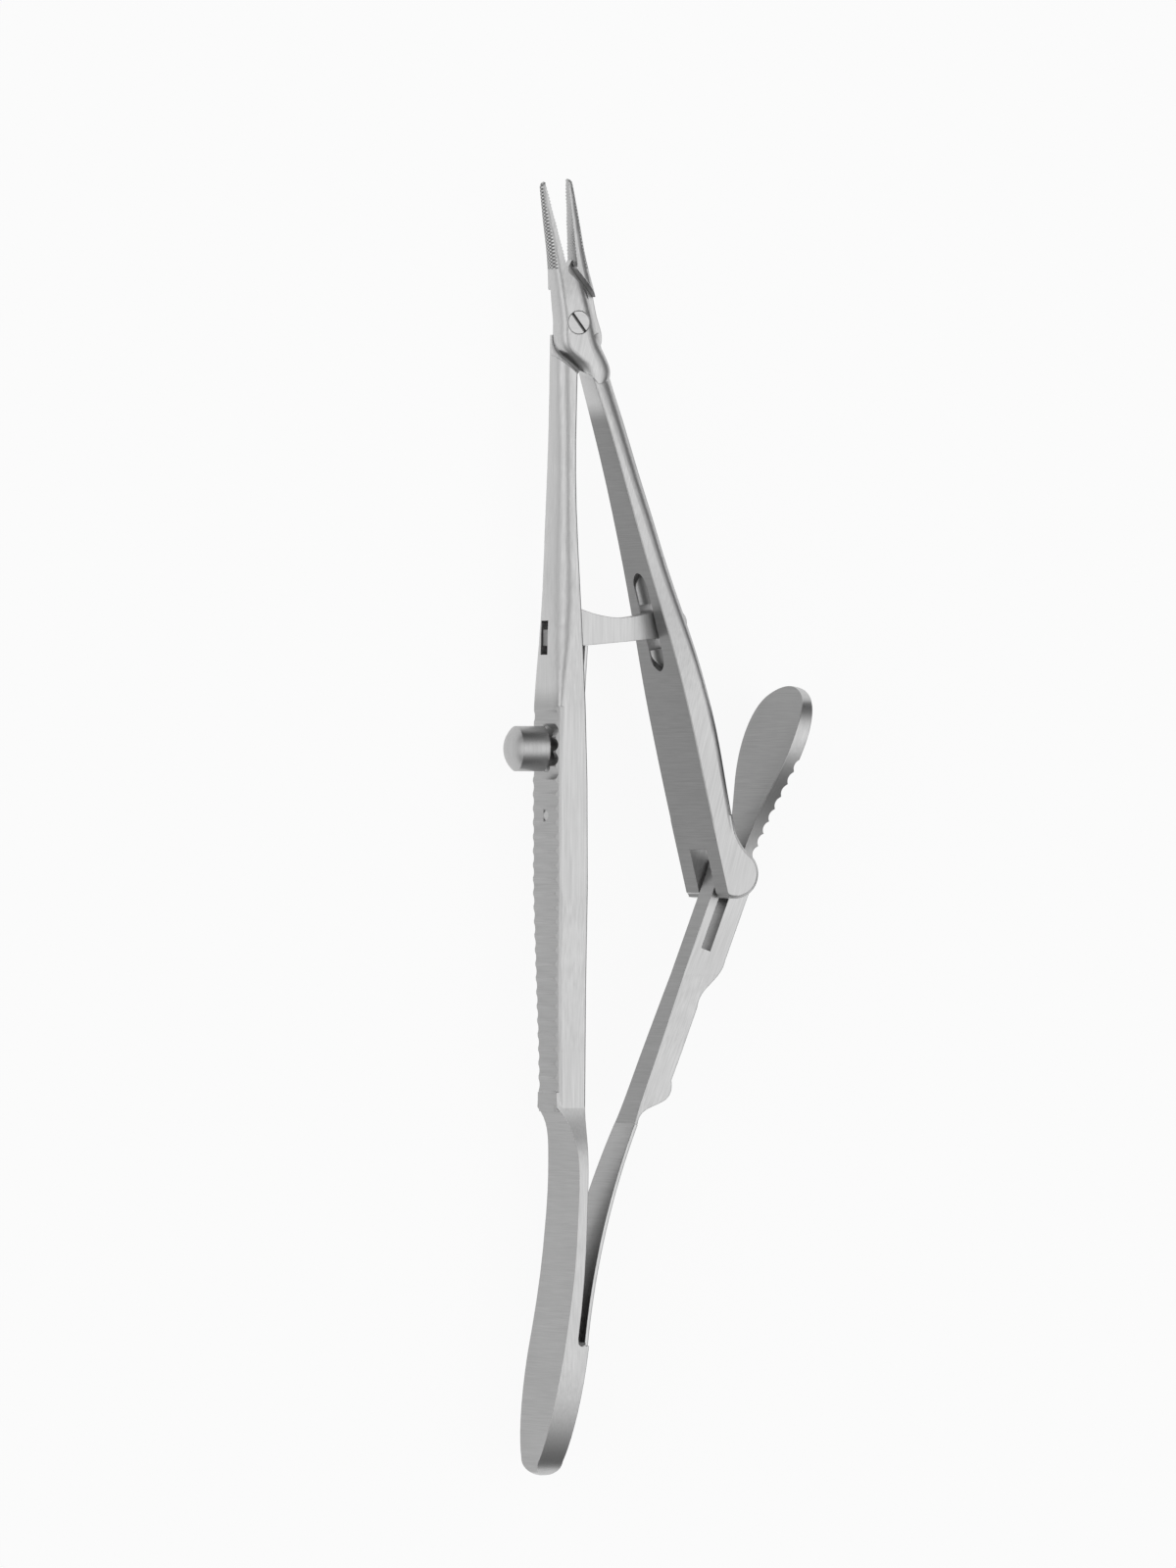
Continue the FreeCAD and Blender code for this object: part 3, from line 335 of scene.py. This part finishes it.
def satin_steel(name, side_colour, shaded_broad_colour, lean=0.0, broad_run="z", side_run="y", broad_top=None,
                jaw=None):
    """Martensitic stainless steel with a satin finish: ground lengthwise on the flat sides and across
    on the broad faces, which gives the eye soft stretched glints and faint parallel lines. Broad faces
    lie below broad_top and take a darker colour, which is painted shade; grooves get painted shade with
    their depth, and teeth keep their sharp edges."""
    steel = settings("steel")
    material, tree = new_material(name)
    spacing, length = steel.line_spacing, steel.line_length
    source = add(tree, "ShaderNodeTexCoord")
    turn = math.radians(lean)
    place = add(tree, "ShaderNodeVectorRotate", {"Vector": source.outputs["Object"], "Center": PIVOT,
                                                 "Angle": turn}, rotation_type="Z_AXIS").outputs[0]
    facing = add(tree, "ShaderNodeVectorRotate", {"Vector": source.outputs["Normal"], "Angle": turn},
                 rotation_type="Z_AXIS").outputs[0]
    parts = add(tree, "ShaderNodeSeparateXYZ", {0: facing})
    broad = add(tree, "ShaderNodeMath", {0: parts.outputs["X"]}, operation="ABSOLUTE").outputs[0]
    mask = add(tree, "ShaderNodeMapRange", {"Value": broad, "From Min": 0.55, "From Max": 0.8},
               interpolation_type="SMOOTHSTEP").outputs["Result"]
    height = add(tree, "ShaderNodeSeparateXYZ", {0: source.outputs["Object"]}).outputs["Y"]
    if broad_top is not None:
        rest = add(tree, "ShaderNodeMath", {0: 1.0, 1: above(tree, height, broad_top)}, operation="SUBTRACT")
        mask = add(tree, "ShaderNodeMath", {0: mask, 1: rest.outputs[0]}, operation="MULTIPLY").outputs[0]
    side_lines = line_noise(tree, place, spacing, length, side_run)
    broad_lines = line_noise(tree, place, spacing, length, broad_run)
    lines = add(tree, "ShaderNodeMix", {"Factor": mask, "A": side_lines, "B": broad_lines}).outputs["Result"]
    cloud = add(tree, "ShaderNodeTexNoise", {"Vector": place, "Scale": 1 / (9 * MM),
                                             "Detail": 2.0}).outputs["Fac"]
    # The broad faces' darker colour is painted shade; their grinding across gives only their lines.
    facing_shade_tint = add(tree, "ShaderNodeMix", {"Factor": mask, "A": linear(side_colour), "B": linear(shaded_broad_colour)},
               data_type="RGBA")
    light = add(tree, "ShaderNodeMapRange", {"Value": lines, "From Min": 0.25, "From Max": 0.75,
                                             "To Min": 0.90, "To Max": 1.08}).outputs["Result"]
    drift = add(tree, "ShaderNodeMapRange", {"Value": cloud, "From Min": 0.3, "From Max": 0.7,
                                             "To Min": 0.97, "To Max": 1.03}).outputs["Result"]
    # Painted shade: the colour darkens where the surface is hemmed in within the groove reach, as in ribs and
    # teeth.
    depth = add(tree, "ShaderNodeAmbientOcclusion", {"Distance": steel.groove_reach}, samples=8,
                only_local=True).outputs["AO"]
    shade = add(tree, "ShaderNodeMapRange", {"Value": depth, "From Min": 0.3, "From Max": 0.92,
                                             "To Min": steel.groove_shade, "To Max": 1.0}).outputs["Result"]
    level = add(tree, "ShaderNodeMath", {0: light, 1: drift}, operation="MULTIPLY").outputs[0]
    level = add(tree, "ShaderNodeMath", {0: level, 1: shade}, operation="MULTIPLY").outputs[0]
    if jaw is not None:
        teeth = tooth_shade(tree, source, height, *jaw)
        level = add(tree, "ShaderNodeMath", {0: level, 1: teeth}, operation="MULTIPLY").outputs[0]
    colour = add(tree, "ShaderNodeVectorMath", {0: facing_shade_tint.outputs["Result"], "Scale": level},
                 operation="SCALE").outputs[0]
    base = steel.roughness
    rough = add(tree, "ShaderNodeMapRange", {"Value": lines, "From Min": 0.25, "From Max": 0.75,
                                             "To Min": base + 0.05, "To Max": base - 0.05}).outputs["Result"]
    polish = add(tree, "ShaderNodeBevel", {"Radius": steel.edge_round}, samples=6).outputs[0]
    sharp = add(tree, "ShaderNodeNewGeometry").outputs["Normal"]
    edge = add(tree, "ShaderNodeMix", {"Factor": above(tree, height, TOOTH_START_Y, 0.1)}, data_type="VECTOR")
    for socket, value in ((edge.inputs[4], polish), (edge.inputs[5], sharp)):
        tree.links.new(value, socket)
    bump = add(tree, "ShaderNodeBump", {"Strength": 0.35, "Distance": 0.012 * MM, "Height": lines,
                                        "Normal": edge.outputs[1]}).outputs[0]
    shader = add(tree, "ShaderNodeBsdfPrincipled", {"Base Color": colour, "Metallic": 1.0, "Roughness": rough,
                                                    "Normal": bump})
    add(tree, "ShaderNodeOutputMaterial", {"Surface": shader.outputs[0]})
    return material


def dress(node, material):
    """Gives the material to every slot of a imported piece."""
    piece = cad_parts[node]
    if not piece.material_slots:
        piece.data.materials.append(material)
    for slot in piece.material_slots:
        slot.material = material


class NEEDLE_OT_arms(bpy.types.Operator):
    """Satin steel for the two arms and the lever, each brushed along its own line"""
    bl_idname = "needle.arms"
    bl_label = "Arms and lever"

    def execute(self, context):
        # These sides put the shade between the teeth on the jaws' outer faces. The gripping faces are
        # the others: -1 for the frame arm, whose jaw crosses over to the right, and 1 for the jaw arm.
        steel = settings("steel")
        dress("frame_arm", satin_steel("satin_steel_frame_arm", steel.side_colour, steel.shaded_grip_colour,
                                       broad_top=FRAME_BROAD_TOP, jaw=(FRAME_JAW_LEAN, 1)))
        dress("jaw_arm", satin_steel("satin_steel_jaw_arm", steel.side_colour, steel.shaded_broad_colour,
                                     lean=ARM_LEAN,
                                     broad_top=JAW_ARM_BROAD_TOP, jaw=(JAW_ARM_JAW_LEAN, -1)))
        dress("lever", satin_steel("satin_steel_lever", steel.side_colour, steel.shaded_lever_colour,
                                   lean=LEVER_LEAN))
        return {"FINISHED"}


class NEEDLE_OT_fittings(bpy.types.Operator):
    """Turned and milled steel for the screws, the pin, the cross bar and the button"""
    bl_idname = "needle.fittings"
    bl_label = "Screws, pin, bar and button"

    def execute(self, context):
        steel = settings("steel")
        milled = satin_steel("milled_steel_bar", steel.bar_colour, steel.shaded_broad_colour)
        turned = satin_steel("turned_steel_button", steel.turned_colour, steel.button_side_colour,
                             broad_run="y")
        screw = satin_steel("satin_steel_screw", steel.side_colour, steel.turned_colour, side_run="x")
        dress("catch_bar", milled)
        dress("release_button", turned)
        for node in ("pivot_screw", "leaf_screw", "fork_pin"):
            dress(node, screw)
        return {"FINISHED"}


class NEEDLE_OT_leaves(bpy.types.Operator):
    """The handle's spring leaf and the catch's leaf, each built in one bent shape"""
    bl_idname = "needle.leaves"
    bl_label = "Spring leaves"

    def execute(self, context):
        steel, leaf = settings("steel"), settings("leaf")
        material = satin_steel("ground_spring_steel", steel.leaf_edge_colour, steel.shaded_leaf_colour, lean=8.0)
        self.handle_leaf(leaf, material)
        self.catch_leaf(leaf, material)
        return {"FINISHED"}

    def handle_leaf(self, leaf, material):
        """From the land on the tail to the lever's foot, on one arc."""
        thickness = leaf.spring_thickness / MM
        root, middle, top = (-0.35, -126.2), (2.472, -112.6), (7.294, -99.0)
        line = arc_through(root, middle, top, 49)
        half = np.interp(line[:, 1], [-126.2, -112.6, -99.0], [5.4, 4.25, 3.17])
        piece = leaf_blade("handle_spring_leaf", line, half, thickness, leaf.edge_round / MM)
        piece.data.materials.append(material)
        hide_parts("spring_leaf")
        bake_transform(piece)

    def catch_leaf(self, leaf, material):
        """Flat on its seat below the bend, then bowed up to the cross bar."""
        thickness = leaf.catch_thickness / MM
        shift = thickness / 2
        foot, bend = (0.12 + shift, -65.0), (0.12 + shift, -57.5)
        bow = smooth_curve([bend, (0.35 + shift, -49.5), (0.68 + shift, -44.0), (0.95 + shift, -39.9)], 33)
        flat = np.linspace(foot, bend, 9)[:-1]
        line = np.vstack([flat, bow])
        piece = leaf_blade("catch_spring_leaf", line, np.full(len(line), 1.85), thickness,
                           leaf.edge_round / MM)
        piece.data.materials.append(material)
        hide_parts("catch_leaf")
        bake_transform(piece)


class NEEDLE_OT_stage(bpy.types.Operator):
    """Pale floor, soft light from above and a long lens at the photograph's angle"""
    bl_idname = "needle.stage"
    bl_label = "Stage"

    def execute(self, context):
        stage = settings("stage")
        self.floor(stage)
        self.surroundings(context.scene, stage)
        self.lights(stage)
        self.camera(context.scene, stage)
        context.scene.view_settings.view_transform = "Standard"
        return {"FINISHED"}

    def floor(self, stage):
        corners = [(-FLOOR_HALF, -FLOOR_HALF, 0), (FLOOR_HALF, -FLOOR_HALF, 0),
                   (FLOOR_HALF, FLOOR_HALF, 0), (-FLOOR_HALF, FLOOR_HALF, 0)]
        mesh = bpy.data.meshes.new("floor")
        mesh.from_pydata(corners, [], [(0, 1, 2, 3)])
        floor = bpy.data.objects.new("floor", mesh)
        bpy.context.scene.collection.objects.link(floor)
        material, tree = new_material("pale_paper_floor")
        colour = linear(stage.floor_colour)
        paper = add(tree, "ShaderNodeBsdfDiffuse", {"Color": colour})
        white = add(tree, "ShaderNodeEmission", {"Color": (1, 1, 1, 1), "Strength": 1.0})
        ray = add(tree, "ShaderNodeLightPath")
        seen = add(tree, "ShaderNodeMath", {0: ray.outputs["Is Camera Ray"], 1: ray.outputs["Is Glossy Ray"]},
                   operation="MAXIMUM")
        seen = add(tree, "ShaderNodeMath", {0: seen.outputs[0], 1: ray.outputs["Is Transmission Ray"]},
                   operation="MAXIMUM")
        share = add(tree, "ShaderNodeMath", {0: seen.outputs[0], 1: stage.floor_glow}, operation="MULTIPLY")
        mixed = add(tree, "ShaderNodeMixShader", {"Fac": share.outputs[0], 1: paper.outputs[0],
                                                  2: white.outputs[0]})
        add(tree, "ShaderNodeOutputMaterial", {"Surface": mixed.outputs[0]})
        mesh.materials.append(material)

    def surroundings(self, scene, stage):
        """A room whose brightness depends on the direction's turn about the long axis: a soft box on
        each side of a dark gap, dim towards the horizon on the lever's side."""
        world = bpy.data.worlds.new("studio")
        world.use_nodes = True
        tree = world.node_tree
        tree.nodes.clear()
        source = add(tree, "ShaderNodeTexCoord")
        ray = add(tree, "ShaderNodeSeparateXYZ", {0: source.outputs["Generated"]})
        turn = add(tree, "ShaderNodeMath", {0: ray.outputs["X"], 1: ray.outputs["Z"]}, operation="ARCTAN2")
        share = add(tree, "ShaderNodeMapRange", {"Value": turn.outputs[0], "From Min": -math.pi,
                                                 "From Max": math.pi})
        ramp = add(tree, "ShaderNodeValToRGB", {"Fac": share.outputs["Result"]})
        ramp.color_ramp.interpolation = "EASE"
        stops = ramp.color_ramp.elements
        for k, (degrees, level) in enumerate(ROOM_LIGHT):
            stop = stops[k] if k < 2 else stops.new(degrees / 360 + 0.5)
            stop.position = degrees / 360 + 0.5
            stop.color = (level, level, level, 1.0)
        end = add(tree, "ShaderNodeMath", {0: ray.outputs["Y"]}, operation="ABSOLUTE")
        dim = add(tree, "ShaderNodeMapRange", {"Value": end.outputs[0], "From Min": 0.08, "From Max": 0.8,
                                               "To Min": 1.0, "To Max": 0.2}, interpolation_type="SMOOTHSTEP")
        level = add(tree, "ShaderNodeMath", {0: ramp.outputs["Color"], 1: dim.outputs["Result"]},
                    operation="MULTIPLY")
        strength = add(tree, "ShaderNodeMath", {0: level.outputs[0], 1: stage.room_strength},
                       operation="MULTIPLY")
        light = add(tree, "ShaderNodeBackground", {"Color": (1, 1, 1, 1), "Strength": strength.outputs[0]})
        add(tree, "ShaderNodeOutputWorld", {"Surface": light.outputs[0]})
        scene.world = world

    def lights(self, stage):
        light = bpy.data.lights.new("top_soft_light", "AREA")
        light.shape = "RECTANGLE"
        light.size, light.size_y = TOP_LIGHT_SIZE
        light.energy = stage.top_power
        lamp = bpy.data.objects.new("top_soft_light", light)
        place = Vector(TOP_LIGHT_PLACE)
        lamp.matrix_world = Matrix.Translation(place) @ (-place).to_track_quat("-Z", "Y").to_matrix().to_4x4()
        bpy.context.scene.collection.objects.link(lamp)

    def camera(self, scene, stage):
        """Straight at the picture's middle, turned about the long axis towards the frame arm's side."""
        right = Vector((math.cos(VIEW_TURN), 0, math.sin(VIEW_TURN)))
        up = Vector((0, 1, 0))
        back = right.cross(up)
        across = (PHOTO_SIZE[0] / 2 - PIVOT_PIXEL[0]) / PHOTO_SCALE * MM
        along = (PIVOT_PIXEL[1] - PHOTO_SIZE[1] / 2) / PHOTO_SCALE * MM
        data = bpy.data.cameras.new("camera")
        data.lens = stage.lens
        height = PHOTO_SIZE[1] / PHOTO_SCALE * MM
        distance = height * data.lens / data.sensor_width
        data.clip_start, data.clip_end = distance * 0.1, distance * 10
        camera = bpy.data.objects.new("camera", data)
        place = PIVOT + right * across + up * along + back * distance
        turn = Matrix((right, up, back)).transposed().to_4x4()
        camera.matrix_world = Matrix.Translation(place) @ turn
        scene.collection.objects.link(camera)
        scene.camera = camera


class NEEDLE_PT_panel(bpy.types.Panel):
    """The needle holder's pieces and settings"""
    bl_idname = "NEEDLE_PT_panel"
    bl_label = "Needle Holder"
    bl_space_type = "VIEW_3D"
    bl_region_type = "UI"
    bl_category = "Needle Holder"

    def draw(self, context):
        for name, group in SETTINGS.items():
            box = self.layout.box()
            box.label(text=name.capitalize())
            for key in group.__annotations__:
                box.prop(settings(name), key)
        for operator in OPERATORS:
            self.layout.operator(operator.bl_idname)


SETTINGS = {"steel": SteelSettings, "leaf": LeafSettings, "stage": StageSettings}
OPERATORS = (NEEDLE_OT_arms, NEEDLE_OT_fittings, NEEDLE_OT_leaves, NEEDLE_OT_stage)


def register():
    for group in (*SETTINGS.values(), *OPERATORS, NEEDLE_PT_panel):
        bpy.utils.register_class(group)
    for name, group in SETTINGS.items():
        setattr(bpy.types.Scene, "needle_holder_" + name, PointerProperty(type=group))


def unregister():
    for name in SETTINGS:
        delattr(bpy.types.Scene, "needle_holder_" + name)
    for group in reversed((*SETTINGS.values(), *OPERATORS, NEEDLE_PT_panel)):
        bpy.utils.unregister_class(group)


def main():
    register()
    bpy.ops.needle.arms()
    bpy.ops.needle.fittings()
    bpy.ops.needle.leaves()
    bpy.ops.needle.stage()


if __name__ == "__main__":
    main()
